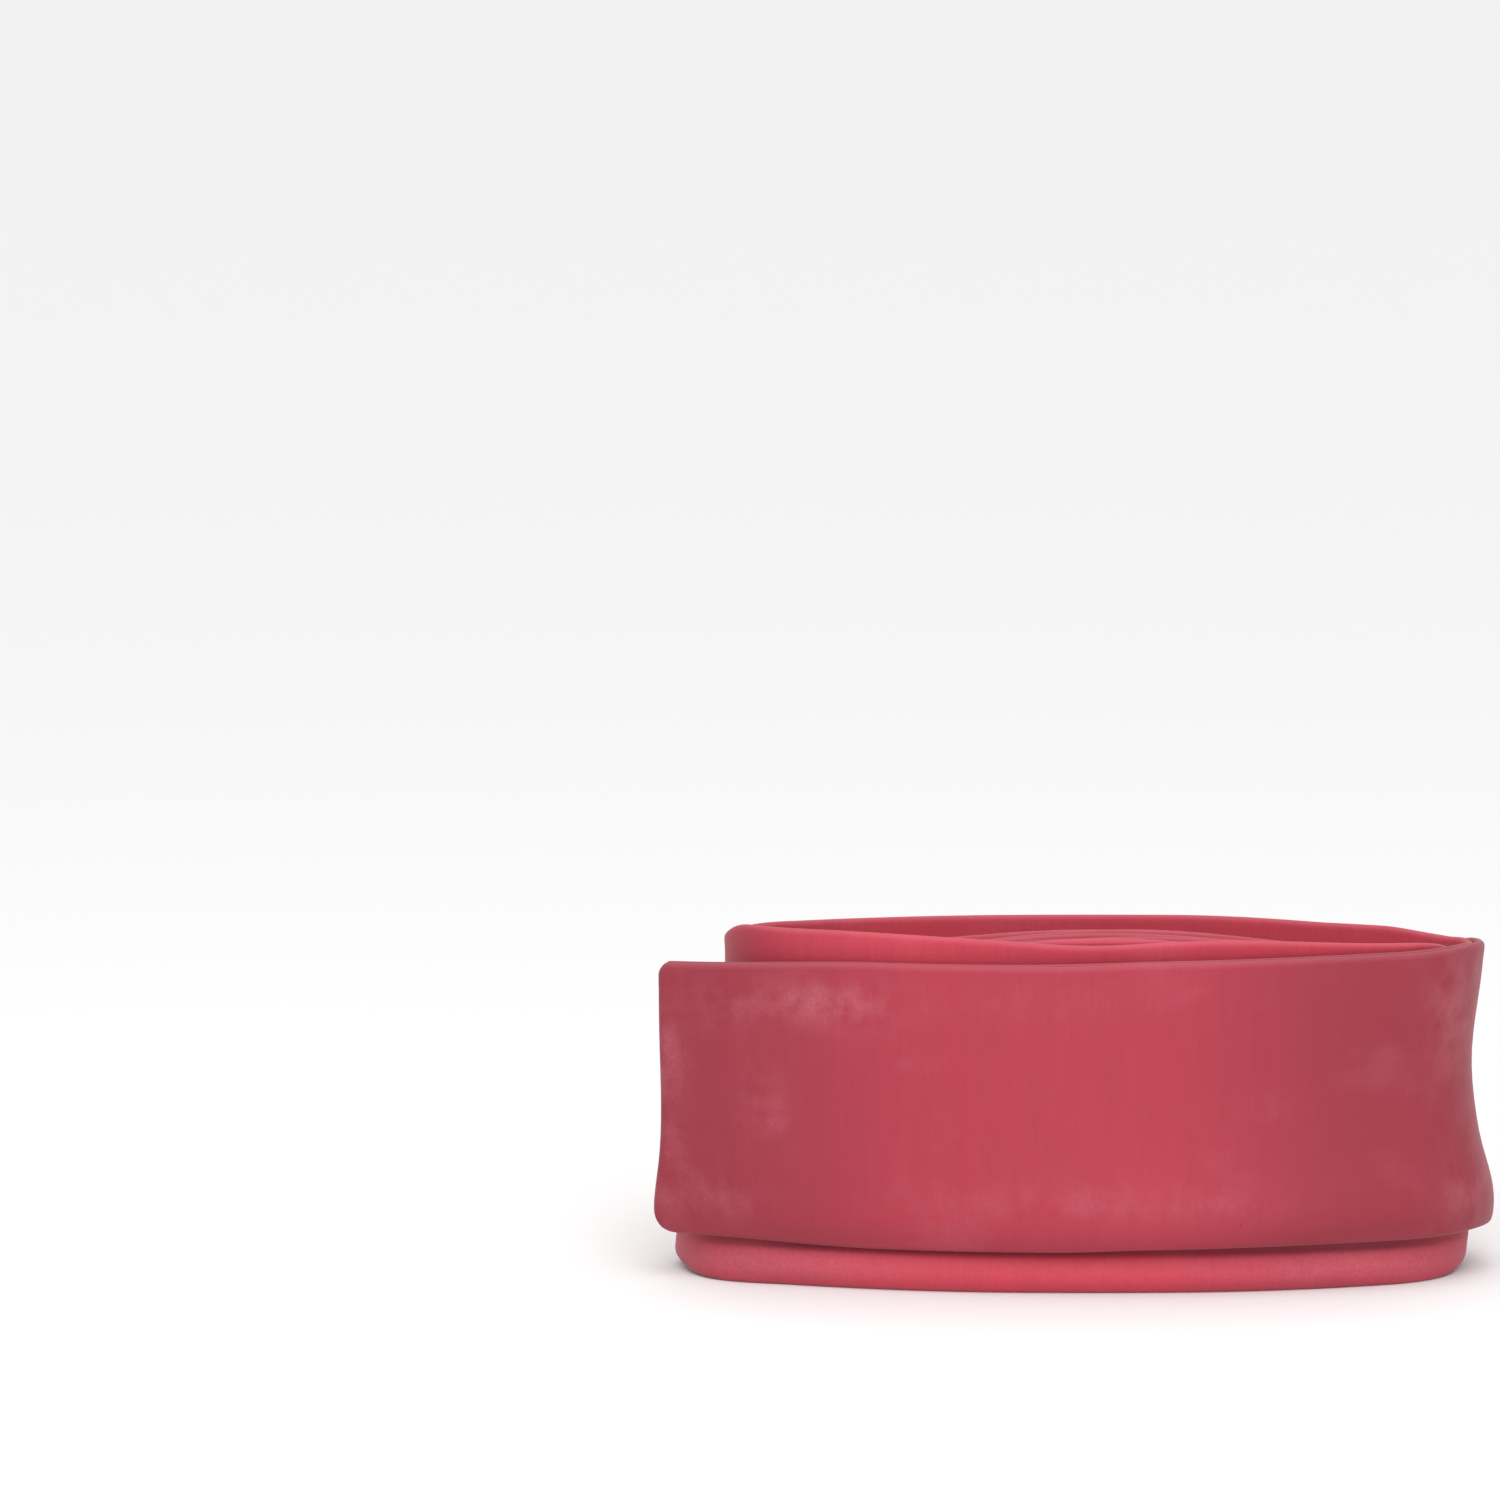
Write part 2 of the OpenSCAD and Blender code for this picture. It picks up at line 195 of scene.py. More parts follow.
def spiral(t, layer, d=0.0):
    """Points after the angle t, in radians, d outside the middle of the given layer."""
    level = level_at(t, layer)
    h = support(INMOST, t) + level * pitch(t) + d
    k = (slope(INMOST, t) + level * (slope(OUTMOST, t) - slope(INMOST, t)) / LEVELS
         + pitch(t) / math.pi)
    return np.stack([h * np.cos(t) - k * np.sin(t), -h * np.sin(t) - k * np.cos(t)], -1)


def outward(t):
    return np.stack([np.cos(t), -np.sin(t)], -1)


# The share of a quarter turn that is counted at each of these angles.
KNOTS_F = np.array([0, BEND_RINGS, MID_RINGS, QUARTER_RINGS]) / QUARTER_RINGS
KNOTS_T = np.array([0, math.pi / 2 - CAD_OUTMOST["half"], math.pi / 2 - INMOST["half"], math.pi / 2])


def half_turns(t):
    """Half turns after the angle t, counted in the CAD model's uneven steps."""
    q = np.floor(t / (math.pi / 2) + 1e-9)
    f = t - q * math.pi / 2
    ahead = np.interp(f, KNOTS_T, KNOTS_F)
    back = 1 - np.interp(math.pi / 2 - f, KNOTS_T, KNOTS_F)
    return (q + np.where(q % 2 == 0, ahead, back)) / 2


def angle_at(p):
    """The angle after p half turns."""
    q = math.floor(2 * p)
    f = 2 * p - q
    if q % 2 == 0:
        return math.pi / 2 * q + float(np.interp(f, KNOTS_F, KNOTS_T))
    return math.pi / 2 * (q + 1) - float(np.interp(1 - f, KNOTS_F, KNOTS_T))


FOLD_T, END_T = angle_at(FOLD_P), angle_at(SIDE_END_P)
TAIL_START = spiral(np.array([END_T]), 0.0)[0]
TAIL_L = float((TAIL_START[0] - TAIL_END) / math.cos(END_T - LAST_P * math.pi))


def slack_x(t, p):
    """How far the slack layer stands off at its last bend."""
    return np.where(np.abs(p - SLACK_P) < 0.5, SLACK * np.cos(t) ** 2, 0.0)


def inner_lift(t, x):
    """Height of the inner turns: level with the crest at mid front, lower at the ends and the back."""
    front = ramp(np.sin(t), 0.5, 1.0)
    return -0.6 + 1.2 * np.sin(t) + 2.5 * front * bell(x, 2.0, 23.0)


def outer_rise(t, p, x):
    """Height of the outer band, which drops for the slack layer and rises again after it."""
    slack = ramp(p, SLACK_P - 1.8, SLACK_P - 1.1)
    return (inner_lift(t, x) * (1 - slack) - DROP * slack
            + (DROP + RIGHT_RISE) * ramp(p, SLACK_P + 0.6, SLACK_P + 1)
            - RIGHT_RISE * ramp(p, SLACK_P + 1, SIDE_END_P))


def inside_rise(t, p, x):
    """Height of the inner band, whose last turn is the crest in front and the wall at the back."""
    crest = FRONT_RISE + LEFT_RISE * ramp(-x, 5.0, 34.0) - 1.1 * ramp(x, 14.0, 40.0)
    crest = crest - 0.6 * bell(x, -1.0, 9.0)
    wall = FAR_RISE - 1.1 * ramp(p, SLACK_P + 0.6, SLACK_P + 0.86)
    wall = wall + 0.6 * ramp(p, SLACK_P + 0.88, SLACK_P + 0.97)
    wall = wall + 0.4 * ramp(-p, -SLACK_P - 0.3, -SLACK_P)
    raised = crest + (wall - crest) * ramp(p, SLACK_P - 0.12, SLACK_P + 0.12)
    inner = inner_lift(t, x)
    up = ramp(p, SLACK_P - 1.1, SLACK_P - 0.75)
    return (inner + (raised - inner) * up) * (1 - ramp(p, SLACK_P + 1, SIDE_END_P))


# What each ring holds: its middle, the direction from the tube's inner wall to its outer one, the
# roll's outward direction, its angle, its layer, its height, and its place along the loose end.
RING = ("x", "y", "nx", "ny", "ox", "oy", "t", "layer", "rise", "tail")


def stretch(xy, normal, out, t, layer, rise, tail=0.0):
    """Rings of one stretch of the tube, a row each."""
    every = np.zeros(len(xy))
    return np.column_stack([xy, normal, out, t + every, layer + every, rise + every, tail + every])


def even_angles(t0, t1, layer):
    """Angles of rings that are evenly apart along the given layer."""
    dense = np.linspace(t0, t1, SEARCH_STEPS)
    steps = np.diff(spiral(dense, layer), axis=0)
    s = np.concatenate([[0], np.cumsum(np.hypot(*steps.T))])
    n = int(round(s[-1] / RING_STEP))
    return np.interp(np.linspace(0, s[-1], n + 1), s, dense)


def outer_band():
    """From the inner fold to the start of the loose end."""
    t = even_angles(FOLD_T - 2 * math.pi, END_T, 0.5)
    p = half_turns(t)
    xy = spiral(t, 0.5) - np.stack([slack_x(t, p), 0 * t], -1)
    return stretch(xy, outward(t), outward(t), t, 0.5, outer_rise(t, p, xy[:, 0]))


def loose_end():
    """A gentle arc, then a half circle, then back along the inner side."""
    gap = float(pitch(np.array(END_T)))
    centre = TAIL_START - TAIL_R * outward(np.array(END_T))
    tip = np.arange(TIP_STEP, TIP_REACH, TIP_STEP)
    rest = np.arange(TIP_REACH + TIP_STEP, TAIL_L - RING_STEP / 2, RING_STEP)
    s = TAIL_L - np.concatenate([tip, rest])[::-1]
    a = END_T + s / TAIL_R
    out = outward(a)
    there = stretch(centre + (TAIL_R + gap / 2) * out, out, out, a, 0.5, 0.0, s)
    back = stretch(centre + (TAIL_R - gap / 2) * out, -out, out, a, -0.5, 0.0, s)[::-1]

    fold_t = END_T + TAIL_L / TAIL_R
    middle = centre + TAIL_R * outward(np.array(fold_t))
    turn = np.linspace(0, math.pi, END_FOLD_STEPS + 1)
    n = outward(fold_t + turn)
    out = np.repeat(outward(np.array([fold_t])), len(turn), 0)
    fold = stretch(middle + gap / 2 * n, n, out, fold_t, 0.5 - turn / math.pi, 0.0,
                   TAIL_L + FOLD_R * np.sin(turn))
    return [there, fold, back]


def inner_band():
    """From the loose end back to the inner fold."""
    t = even_angles(FOLD_T, END_T, -0.5)[::-1]
    p = half_turns(t)
    xy = spiral(t, -0.5)
    return stretch(xy, -outward(t), outward(t), t, -0.5, inside_rise(t, p, xy[:, 0]))


def inner_fold():
    """The half circle that joins the inner band's end to the outer band's start."""
    gap = float(pitch(np.array(FOLD_T)))
    middle = spiral(np.array([FOLD_T]), -1.0)[0]
    turn = np.linspace(0, math.pi, INNER_FOLD_STEPS + 1)[1:-1]
    n = -outward(FOLD_T - turn)
    out = np.repeat(outward(np.array([FOLD_T])), len(turn), 0)
    return stretch(middle - gap / 2 * n, n, out, FOLD_T, -0.5 - turn / math.pi,
                   inner_lift(FOLD_T, middle[0]))


def path():
    """The closed middle line of the flat tube, as columns of rings."""
    rows = np.concatenate([outer_band(), *loose_end(), inner_band(), inner_fold()])
    rings = dict(zip(RING, rows.T))
    rings["p"] = half_turns(rings["t"])
    rings["level"] = level_at(rings["t"], rings["layer"])
    return rings


# ---------------------------------------------------------------- shape of the band

# The band's edge is a little thicker than its face, and never fills the whole pitch.
EDGE_BULB, BULB_GAP = 0.12, 0.05
# How far the outermost layer's upper edge stands above the band's own width.
TOP_EXTRA = 0.85
# Rounded corners of the loose end, and a distance that is far from them.
TOP_CORNER, LOW_CORNER, FAR = 1.6, 2.8, 99.0
# How far round a bend its shape reaches.
BEND_REACH = math.radians(48)
# Places across half a face, closer together where the faces curve, and steps round an edge.
FACE_U = [0.0, 0.12, 0.24, 0.36, 0.46, 0.54, 0.6, 0.65, 0.69,
          0.72, 0.75, 0.78, 0.82, 0.86, 0.9, 0.93, 0.95, 0.97]
EDGE_STEPS = 7


def edge_cut(from_end, radius):
    """How much a rounded corner takes off the band's edge near its end."""
    d = np.clip(radius - from_end, 0, radius)
    return radius - np.sqrt(np.maximum(radius * radius - d * d, 0))


def dropped(r):
    """Where the outer band is the slack layer that the roll stands on."""
    down = ramp(r["p"], SLACK_P - 1.6, SLACK_P - 1.1) * (1 - ramp(r["p"], SLACK_P + 0.4, SLACK_P + 0.9))
    return down * (r["layer"] > 0)


def edges(r):
    """Height of the band's lower and upper edge at each ring."""
    from_end = np.where(r["tail"] > 0, TAIL_L + FOLD_R - r["tail"], FAR)
    end = ramp(-from_end, -28.0, 0.0)

    # Round a bend the upper edge dips. The lower one sags at the right, and otherwise pulls in.
    turn = (r["t"] + math.pi / 2) % math.pi - math.pi / 2
    right = np.cos(r["t"]) > 0
    dip_top = np.where(right, 0.5, 1.2) * bell(turn, 0.0, np.radians(np.where(right, 18, 25)))
    dip_slack = 1.3 * bell(turn, 0.0, math.radians(24))
    dip_rest = np.where(right, -0.5, 0.4) * bell(turn, 0.0, math.radians(22))
    dip_low = dip_rest * (1 - dropped(r)) + dip_slack * dropped(r)

    # The inner layers are not quite level with each other.
    x, level = r["x"], r["level"]
    wander = 0.22 * np.sin(level * 5.1 + x / 17.0) + 0.15 * np.sin(level * 9.7 - x / 9.0 + 1.0)
    wander = wander * (1 - ramp(level, 6.5, 7.4))

    front = ramp(level, 8.6, 9.4) * ramp(r["p"], SLACK_P + 0.8, SLACK_P + 1.1)
    top = (BASE_Z + FLAT_W / 2 + r["rise"] - dip_top - edge_cut(from_end, TOP_CORNER) - 0.9 * end
           + wander + TOP_EXTRA * front)
    low = (BASE_Z - FLAT_W / 2 + r["rise"] + dip_low + edge_cut(from_end, LOW_CORNER) + 0.8 * end
           + wander * 0.6)
    return np.maximum(low, 0.0), top


def field(r, z):
    """Shift of the band along the roll's outward direction, shared by neighbouring layers."""
    round_right = (r["t"] + math.pi) % (2 * math.pi) - math.pi
    round_left = r["t"] % (2 * math.pi) - math.pi
    at_right = bell(round_right, 0.0, BEND_REACH)
    at_left = bell(round_left, 0.0, BEND_REACH)
    mid_front = bell(round_right, math.pi / 2, math.radians(20))

    # The right bend and the front beside it have a waist above a bulging foot.
    on_front = 0.15 * ramp(r["x"], -47, -28) + 0.85 * ramp(r["x"], -25, 39)
    share = np.where(round_right < 0, at_right, on_front)
    waist = 1.3 * bell(z, 9.8, 4.8) - 1.5 * bell(z, 26.0, 9.5)
    d = share * waist + (0.6 + 0.45 * bell(z, 6.5, 3.0)) * at_right
    d = d + at_left * (0.65 - 0.5 * bell(z, 22.0, 9.0))
    d = d + mid_front * (0.15 * bell(z, 9.5, 4.0) - 0.75 * bell(z, 4.4, 1.7))

    # The slack layer is puffed out below the crease, and stands off at the front of the left bend.
    below = ramp(z, -1.0, 1.6) * (1 - ramp(z, 4.3, 5.4)) * (0.75 + 0.25 * bell(z, 2.6, 1.3))
    puffed = 0.55 + 1.35 * bell(round_right, math.pi / 2, math.radians(26))
    d = d + dropped(r) * (puffed * below - 0.15 + 0.2 * at_right)
    stand_off = 1.5 * dropped(r) * bell(round_left, math.radians(-42), math.radians(22))
    return d * np.clip((r["level"] - 1.5) / 7.5, 0, 1) + stand_off


def loose_end_shift(r, z):
    """The loose end's edge stands out near its foot and draws in above it."""
    stand_out = 0.6 * bell(z, 9.0, 5.0) - 0.25 * bell(z, 21.0, 8.0)
    return stand_out * ramp(r["tail"], TAIL_L - 6.0, TAIL_L)


def face_points(r, u, side):
    """Points of every ring at u across the face, -1 to 1, and the given share of its thickness."""
    low, top = edges(r)
    z = (top + low) / 2 + u * (top - low) / 2
    face_u = min(abs(u), FACE_U[-1])
    bulb = 1 + EDGE_BULB * bell((1 - face_u) * FLAT_W / 2, 0.9, 0.75)
    off = side * np.minimum(FLAT_T / 2 * bulb, (pitch(r["t"]) - BULB_GAP) / 2)
    d = field(r, z)
    x = r["x"] + r["nx"] * off + r["ox"] * d - loose_end_shift(r, z)
    y = r["y"] + r["ny"] * off + r["oy"] * d
    return np.stack([x, y, z], -1)


def section():
    """Places round the band's section: up one face, over the top, and down the other and under."""
    up = [-u for u in FACE_U[:0:-1]] + FACE_U
    last = FACE_U[-1]
    round_edge = np.linspace(0, math.pi, EDGE_STEPS + 2)[1:-1]
    edge = [(last + (1 - last) * math.sin(a), math.cos(a)) for a in round_edge]
    return ([(u, 1.0) for u in up] + edge + [(u, -1.0) for u in up[::-1]]
            + [(-u, -side) for u, side in edge])


def band_mesh(r):
    """Sweeps the flat section round the rings, and marks each vertex's edge and level."""
    places = section()
    grid = np.stack([face_points(r, u, side) for u, side in places], 1)
    n, m = grid.shape[:2]
    k, j = np.arange(n)[:, None], np.arange(m)[None, :]
    after, beside = (k + 1) % n, (j + 1) % m
    faces = np.stack([k * m + j, k * m + beside, after * m + beside, after * m + j], -1)
    # The edge mark counts only towards the top edge, where the latex paints a highlight.
    marks = {"edge": np.tile([max(u, 0.0) for u, side in places], n),
             "level": np.repeat(r["level"], m)}
    return grid.reshape(-1, 3), faces.reshape(-1, 4), marks


def make_mesh(name, verts, faces):
    mesh = bpy.data.meshes.new(name)
    mesh.from_pydata([tuple(v) for v in verts * MM], [], [tuple(int(i) for i in f) for f in faces])
    mesh.polygons.foreach_set("use_smooth", [True] * len(mesh.polygons))
    mesh.update()
    piece = bpy.data.objects.new(name, mesh)
    bpy.context.scene.collection.objects.link(piece)
    return piece


def roll_shift():
    """The spiral's middle, from the patch on its left wall and the cap on the valve's axis."""
    patch_low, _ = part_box("valve_patch")
    cap_low, cap_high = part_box("dust_cap")
    valve_wall = spiral(np.array([-math.pi]), 0.5, -CAD_T / 2)[0][0]
    return np.array([patch_low.x / MM - valve_wall - BOND_GAP,
                     (cap_low.y + cap_high.y) / 2 / MM - SIDE_PITCH / 2, 0.0])


verts, faces, marks = band_mesh(path())
verts = verts + roll_shift()
tube = make_mesh("tube_band", verts, faces)


# ---------------------------------------------------------------- talc, painted shade and painted light

# Smudges of talc on the outermost layer: along X, up Z, reach along X, reach up Z, strength.
SMUDGES = [
    (-31, 35.3, 8, 2.4, 0.3), (-25, 34.0, 4, 2.0, 0.26), (-42, 34, 2.6, 3.5, 0.2),
    (-37, 22, 3.2, 6, 0.16), (-43, 11, 5, 3, 0.18), (-8, 36, 14, 2, 0.08),
    (-2, 11.5, 14, 2.2, 0.12), (16, 11, 9, 2.0, 0.1), (48, 33, 4.5, 9, 0.3),
    (49, 12, 4, 6, 0.26), (-50, 22, 3, 16, 0.26),
]


def talc(verts, level):
    """Smudges that handling leaves on the outermost layer."""
    x, _, z = verts.T
    amount = np.zeros(len(verts))
    for at_x, at_z, reach_x, reach_z, strength in SMUDGES:
        amount += strength * bell(x, at_x, reach_x) * bell(z, at_z, reach_z)
    return amount * ramp(level, 8.2, 9.3)


def haze(verts, level):
    """An even film of talc on the lower band, and inside the top of the roll a paler film, more at the
    back, that is talc and painted light on the shaded inner wall.
    """
    x, y, z = verts.T
    foot = bell(z, 2.6, 2.2) * (0.07 + 0.17 * ramp(np.abs(x), 8.0, 38.0)) * ramp(level, 6.6, 7.6)
    # Inside the top of the roll: talc, and painted light on the shaded inner wall.
    inside = (0.05 + 0.07 * ramp(y, 4.0, 10.0)) * ramp(z, 32.0, 36.0)
    return foot + inside * (level < 8.8)


def tone_and_painted_shade(verts, level):
    """Painted shade over the outermost layer's base tone: that layer darkens towards both ends and just
    above its lower edge, less at the back; the layers within darken towards the left, and the innermost
    ones all over; the lower band darkens towards its ends and carries a painted shadow in the crease
    under the outer band.
    """
    x, y, z = verts.T
    # Painted shade on the outermost layer, darker towards both ends and just above its lower edge, over
    # a base tone of 0.56.
    outside = 0.56 + 0.42 * ramp(-x, 14.0, 46.0) + 0.38 * ramp(x, 8.0, 38.0) + 0.18 * bell(z, 6.0, 2.0)
    outside = outside * (1.0 - 0.75 * ramp(y, 2.0, 10.0)) * ramp(level, 8.8, 9.3)
    # Painted shade on the layers within, towards the left.
    painted_shade_left = 0.42 * ramp(-x, 18.0, 42.0)
    # Painted shade on the innermost layers.
    inner = 0.35 * (1.0 - ramp(level, 5.5, 6.5))
    # Painted shadow in the crease under the outer band's lower edge.
    crease = 1.1 * bell(z, 5.2, 0.55) * ramp(-y, 4.0, 12.0)
    # Painted shade on the lower band: darker towards its ends, with the crease's painted shadow.
    lower_band_shade = painted_shade_left + crease + 0.04 + 0.35 * ramp(x, 6.0, 34.0)
    share = ramp(level, 6.4, 6.8) * (1.0 - ramp(z, 5.0, 6.0))
    return (outside + painted_shade_left * (level < 8.8) + inner) * (1.0 - share) + lower_band_shade * share


def shade(piece, name, values):
    """Stores a value for each vertex, for the latex material to read."""
    attribute = piece.data.attributes.new(name, "FLOAT", "POINT")
    attribute.data.foreach_set("value", values.astype(np.float32))


shade(tube, "talc", talc(verts, marks["level"]))
shade(tube, "haze", haze(verts, marks["level"]))
# Painted shade, over the outer layer's base tone.
shade(tube, "tone_and_painted_shade", tone_and_painted_shade(verts, marks["level"]))
# How near each vertex is to the top edge, for the painted highlight there.
shade(tube, "edge", marks["edge"])


# ---------------------------------------------------------------- material helpers

# Sockets of a colour Mix node, which share their names with its other kinds.
MIX_FACTOR, MIX_A, MIX_B, MIX_RESULT = 0, 6, 7, 2


def new_material(name, **sockets):
    """A principled material; each even value is set on its own socket."""
    material = bpy.data.materials.new(name)
    material.use_nodes = True
    shader = material.node_tree.nodes["Principled BSDF"]
    for key, value in sockets.items():
        shader.inputs[key.replace("_", " ")].default_value = value
    return material


def fill(material, socket, value):
    """Links a socket to another one, or sets its value."""
    if isinstance(value, bpy.types.NodeSocket):
        material.node_tree.links.new(value, socket)
    else:
        socket.default_value = value


def node(material, kind, inputs, **settings):
    """A new shader node, with values or links for its inputs, in a material or the world."""
    made = material.node_tree.nodes.new("ShaderNode" + kind)
    for key, value in settings.items():
        setattr(made, key, value)
    for key, value in inputs.items():
        fill(material, made.inputs[key], value)
    return made


def to_shader(material, key, value):
    shader = material.node_tree.nodes["Principled BSDF"]
    material.node_tree.links.new(value, shader.inputs[key])


def coords(material, stretch=(1, 1, 1)):
    place = node(material, "TexCoord", {}).outputs["Object"]
    return node(material, "Mapping", {"Vector": place, "Scale": stretch}).outputs["Vector"]


def noise(material, scale, stretch=(1, 1, 1), detail=2.0):
    place = coords(material, stretch)
    made = node(material, "TexNoise", {"Vector": place, "Scale": scale, "Detail": detail})
    return made.outputs["Fac"]


def span(material, value, low, high, to_low=0.0, to_high=1.0):
    """Maps the values from low to high onto those from to_low to to_high."""
    made = node(material, "MapRange", {"Value": value, "From Min": low, "From Max": high,
                                       "To Min": to_low, "To Max": to_high})
    return made.outputs["Result"]


def calc(material, operation, a, b):
    """A sum on two values, each a number or a socket."""
    made = node(material, "Math", {0: a, 1: b}, operation=operation)
    return made.outputs["Value"]


def blend_color(material, factor, a, b):
    made = node(material, "Mix", {}, data_type="RGBA")
    ends = [c if isinstance(c, bpy.types.NodeSocket) else (*c, 1.0) for c in (a, b)]
    fill(material, made.inputs[MIX_FACTOR], factor)
    fill(material, made.inputs[MIX_A], ends[0])
    fill(material, made.inputs[MIX_B], ends[1])
    return made.outputs[MIX_RESULT]


def bump(material, height, depth, strength=1.0, under=None):
    inputs = {"Height": height, "Distance": depth, "Strength": strength}
    if under is not None:
        inputs["Normal"] = under
    return node(material, "Bump", inputs).outputs["Normal"]


def mark(material, name):
    """The value that shade() stored under this name."""
    return node(material, "Attribute", {}, attribute_name=name).outputs["Fac"]


# ---------------------------------------------------------------- materials

LATEX_DEEP = (0.475, 0.035, 0.062)
LATEX_LIGHT = (0.525, 0.041, 0.070)
# The colour below is the one that painted shade darkens towards; on the patch it gives a darker random
# tone.
LATEX_SHADE_AND_TONE = (0.25, 0.026, 0.042)
LATEX_STREAK = (0.20, 0.018, 0.032)
# The colour below is talc's, and also that of the painted highlight along the top edges.
LATEX_POWDER_AND_HIGHLIGHT = (0.62, 0.24, 0.29)
LATEX_SPECK = (0.09, 0.012, 0.02)


def latex_streaks(material):
    """Broad and fine streaks across the band, half of each."""
    broad = noise(material, 1.0, (820, 820, 55), 3.0)
    fine = noise(material, 1.0, (2900, 2900, 130), 2.0)
    return calc(material, "ADD", calc(material, "MULTIPLY", broad, 0.5),
                calc(material, "MULTIPLY", fine, 0.5))


def latex_specks(material, color):
    """Scattered dark specks in the latex."""
    dots = node(material, "TexVoronoi", {"Vector": coords(material), "Scale": 95.0}, feature="F1")
    speck = span(material, dots.outputs["Distance"], 0.012, 0.026, 0.55, 0.0)
    return blend_color(material, speck, color, LATEX_SPECK)


def latex_material(name, marked):
    """Matte red latex, dusted with talc. A marked piece carries talc smudges, the painted shade stored
    on it, and a painted highlight along its top edges.
    """
    made = new_material(name, Roughness=0.66, Specular_IOR_Level=0.24, Sheen_Weight=0.14,
                        Sheen_Roughness=0.45, Sheen_Tint=(1.0, 0.86, 0.88, 1.0))
    cloud = noise(made, 34.0, detail=3.0)
    streak = latex_streaks(made)
    grain = noise(made, 2600.0, detail=3.0)
    # On a marked piece, the painted shade stored on it; on the patch, a random darker tone.
    worn = mark(made, "tone_and_painted_shade") if marked else span(made, cloud, 0.3, 0.7, 0.4, 0.55)

    color = blend_color(made, span(made, cloud, 0.3, 0.7), LATEX_DEEP, LATEX_LIGHT)
    color = blend_color(made, worn, color, LATEX_SHADE_AND_TONE)
    color = blend_color(made, span(made, streak, 0.38, 0.66, 0.0, 0.15), color, LATEX_STREAK)
    patches = span(made, noise(made, 88.0, (1, 1, 1.5), 5.0), 0.56, 0.78, 0.0, 0.1)
    if marked:
        broken = span(made, noise(made, 300.0, (1, 1, 0.8), 5.0), 0.38, 0.66)
        smudges = calc(made, "MULTIPLY", mark(made, "talc"), broken)
        patches = calc(made, "ADD", calc(made, "ADD", patches, smudges), mark(made, "haze"))
        # Painted highlight along the top edges.
        painted_highlight = span(made, mark(made, "edge"), 0.955, 1.0, 0.0, 0.13)
        color = blend_color(made, painted_highlight, color, LATEX_POWDER_AND_HIGHLIGHT)
    powder = span(made, grain, 0.42, 0.68, 0.6, 1.0)
    patches = calc(made, "MULTIPLY", patches, powder)
    color = blend_color(made, patches, color, LATEX_POWDER_AND_HIGHLIGHT)

    to_shader(made, "Base Color", latex_specks(made, color))
    to_shader(made, "Roughness", span(made, patches, 0.0, 0.3, 0.6, 0.78))
    soft = bump(made, noise(made, 1.0, (210, 210, 330), 2.0), 0.00012, 0.5)
    normal = bump(made, streak, 0.00003, 0.5, soft)
    to_shader(made, "Normal", bump(made, grain, 0.00003, 0.6, normal))
    return made


def rubber_material(name, color, bloom):
    """Moulded black rubber with a pale bloom and the fine grain of its mould."""
    made = new_material(name, Roughness=0.6, Specular_IOR_Level=0.4)
    cloud = span(made, noise(made, 700.0, detail=4.0), 0.45, 0.75, 0.0, 0.5)
    to_shader(made, "Base Color", blend_color(made, cloud, color, bloom))
    to_shader(made, "Roughness", span(made, cloud, 0.0, 0.5, 0.5, 0.72))
    to_shader(made, "Normal", bump(made, noise(made, 9000.0, detail=2.0), 0.00002, 0.6))
    return made


def turned_metal(name, color, dark, roughness):
    """Turned metal: fine rings round the X axis, and small stains."""
    made = new_material(name, Metallic=1.0, Roughness=roughness)
    rings = noise(made, 1.0, (9000, 120, 120), 2.0)
    stain = span(made, noise(made, 700.0, detail=3.0), 0.52, 0.8, 0.0, 0.4)
    to_shader(made, "Base Color", blend_color(made, stain, color, dark))
    rough = span(made, rings, 0.3, 0.7, roughness - 0.03, roughness + 0.03)
    to_shader(made, "Roughness", calc(made, "ADD", rough, span(made, stain, 0.0, 0.4, 0.0, 0.06)))
    to_shader(made, "Normal", bump(made, rings, 0.000002, 0.05))
    return made


def moulded_plastic(name, color, worn):
    """Moulded plastic with a spark-eroded grain and paler rubbed patches."""
    made = new_material(name, Roughness=0.42)
    rub = span(made, noise(made, 450.0, (0.5, 1, 1), 4.0), 0.52, 0.8, 0.0, 0.45)
    to_shader(made, "Base Color", blend_color(made, rub, color, worn))
    to_shader(made, "Roughness", span(made, noise(made, 2500.0, detail=3.0), 0.3, 0.7, 0.36, 0.52))
    to_shader(made, "Normal", bump(made, noise(made, 7000.0, detail=2.0), 0.000015, 0.6))
    return made


def cad_looks():
    """The material of each CAD node but the tube's own, which tube_band replaces."""
    brass = turned_metal("brass", (0.74, 0.53, 0.24), (0.42, 0.27, 0.12), 0.3)
    return {
        "valve_patch": latex_material("latex_patch", False),
        "valve_base": rubber_material("moulded_rubber", (0.018, 0.018, 0.02), (0.075, 0.072, 0.075)),
        "valve_stem": turned_metal("nickel", (0.70, 0.69, 0.66), (0.50, 0.48, 0.44), 0.24),
        "core_body": turned_metal("core_nickel", (0.68, 0.66, 0.62), (0.46, 0.43, 0.38), 0.28),
        "core_gasket": moulded_plastic("gasket", (0.78, 0.77, 0.73), (0.62, 0.60, 0.55)),
        "plunger_pin": brass,
        "plunger_seal": rubber_material("seal_rubber", (0.012, 0.012, 0.013), (0.04, 0.04, 0.042)),
        "seal_cup": brass,
        "lock_nut": brass,
        "dust_cap": moulded_plastic("cap_plastic", (0.02, 0.02, 0.022), (0.07, 0.07, 0.073)),
    }


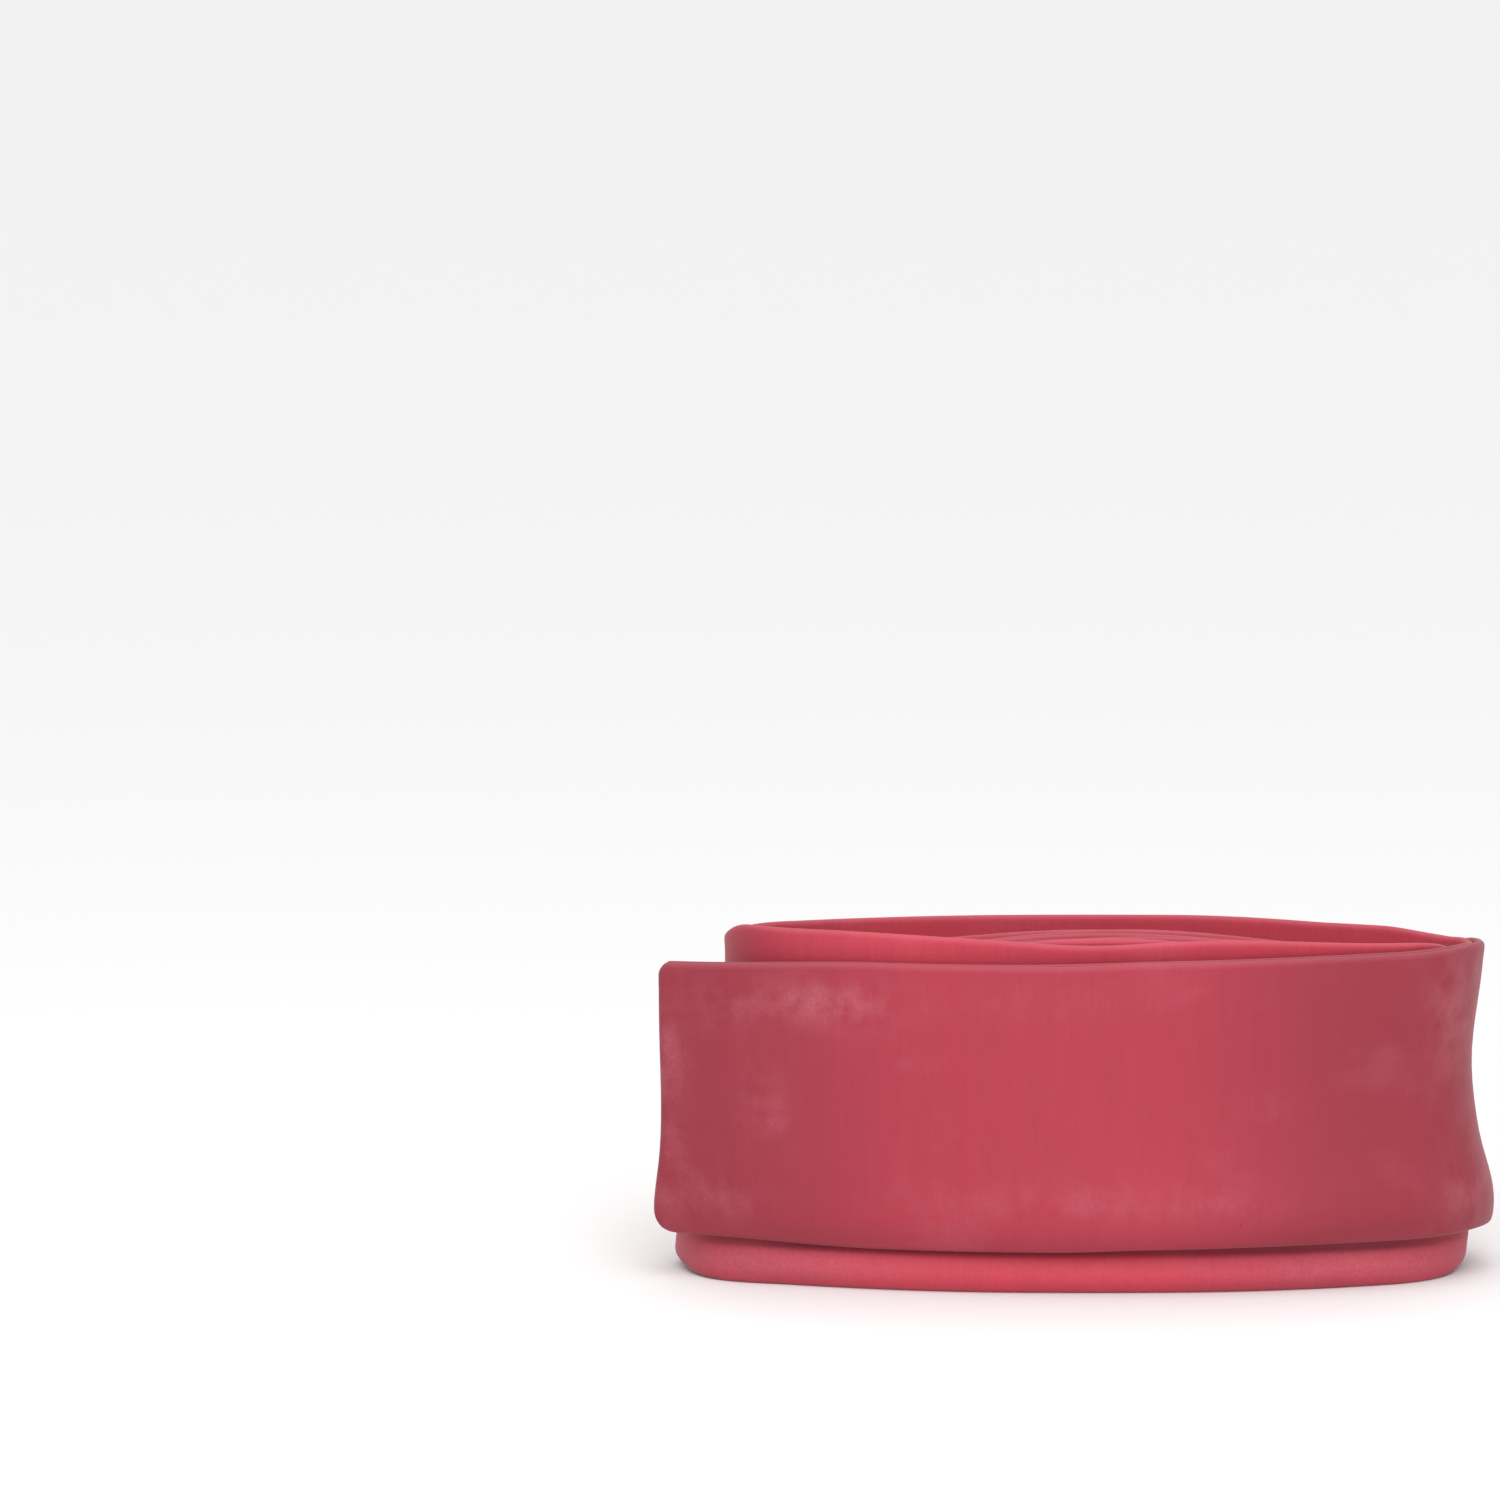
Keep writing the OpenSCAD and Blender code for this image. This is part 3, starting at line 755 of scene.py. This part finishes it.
def dress(piece, material):
    """Puts the material in every slot of the piece, which gets one if it has none."""
    if not piece.data.materials:
        piece.data.materials.append(material)
    for place in piece.material_slots:
        place.material = material


dress(tube, latex_material("latex", True))
for node_name, look in cad_looks().items():
    dress(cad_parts[node_name], look)

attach(tube, "tube")
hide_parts("latex_tube")


# ---------------------------------------------------------------- floor and light

FLOOR_HALF = 15.0
SKY_LOW, SKY_HIGH = 0.42, 1.35


def make_floor():
    """A plain pale floor that reaches far past the view."""
    mesh = bpy.data.meshes.new("floor")
    s = FLOOR_HALF
    mesh.from_pydata([(-s, -s, 0), (s, -s, 0), (s, s, 0), (-s, s, 0)], [], [(0, 1, 2, 3)])
    floor = bpy.data.objects.new("floor", mesh)
    bpy.context.scene.collection.objects.link(floor)
    white = new_material("floor_white", Base_Color=(0.86, 0.86, 0.86, 1.0), Roughness=0.9)
    mesh.materials.append(white)


def make_sky():
    """White light from all round, brighter overhead than at the horizon."""
    world = bpy.data.worlds.new("world")
    bpy.context.scene.world = world
    world.use_nodes = True
    background = world.node_tree.nodes["Background"]
    background.inputs["Color"].default_value = (1, 1, 1, 1)
    way = node(world, "TexCoord", {}).outputs["Generated"]
    height = node(world, "SeparateXYZ", {"Vector": way}).outputs["Z"]
    sky = node(world, "MapRange", {"Value": height, "To Min": SKY_LOW, "To Max": SKY_HIGH})
    world.node_tree.links.new(sky.outputs["Result"], background.inputs["Strength"])


def area_light(name, at, look, size, power):
    """A round soft light that the camera doesn't see."""
    data = bpy.data.lights.new(name, "AREA")
    data.shape = "DISK"
    data.size = size
    data.energy = power
    light = bpy.data.objects.new(name, data)
    light.location = at
    light.rotation_mode = "QUATERNION"
    light.rotation_quaternion = (Vector(look) - Vector(at)).to_track_quat("-Z", "Y")
    light.visible_camera = False
    bpy.context.scene.collection.objects.link(light)


make_floor()
make_sky()
area_light("key", (0.004, -0.21, 0.05), (0.004, 0.0, 0.024), 0.08, 0.085)
area_light("top", (0.0, -0.4, 0.4), (0.0, 0.0, 0.02), 0.4, 1.2)
bpy.context.scene.view_settings.view_transform = "Standard"
